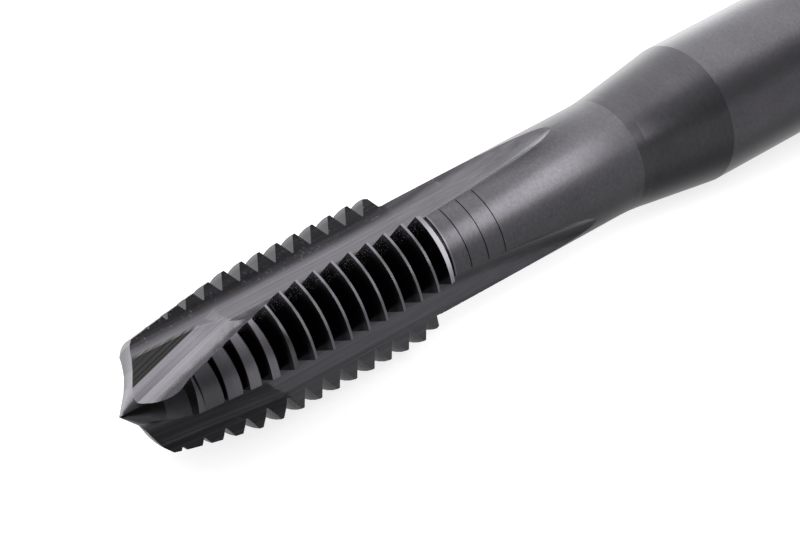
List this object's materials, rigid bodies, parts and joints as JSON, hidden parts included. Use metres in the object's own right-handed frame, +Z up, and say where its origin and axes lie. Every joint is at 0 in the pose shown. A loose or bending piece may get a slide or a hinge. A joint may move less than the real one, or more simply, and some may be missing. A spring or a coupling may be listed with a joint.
{
  "type": "machine tap",
  "caption": "Straight-fluted machine tap with spiral point, tapered lead, ground right-hand thread, slim neck, thicker cylindrical shank and driving square.",
  "frame": {"origin": "on the tool axis, at the centre of the shank's end face", "axes": "+X along the tool axis from the shank's end to the cutting point; +Z up as the tap lies on its side"},
  "size_m": [0.1036, 0.01, 0.01],
  "materials": {
    "coated_steel": "ground high-speed steel with a thin dark violet-grey hard coating, satin, fine grinding lines"
  },
  "bodies": {
    "root": {"tap_body": "coated_steel"}
  },
  "joints": []
}
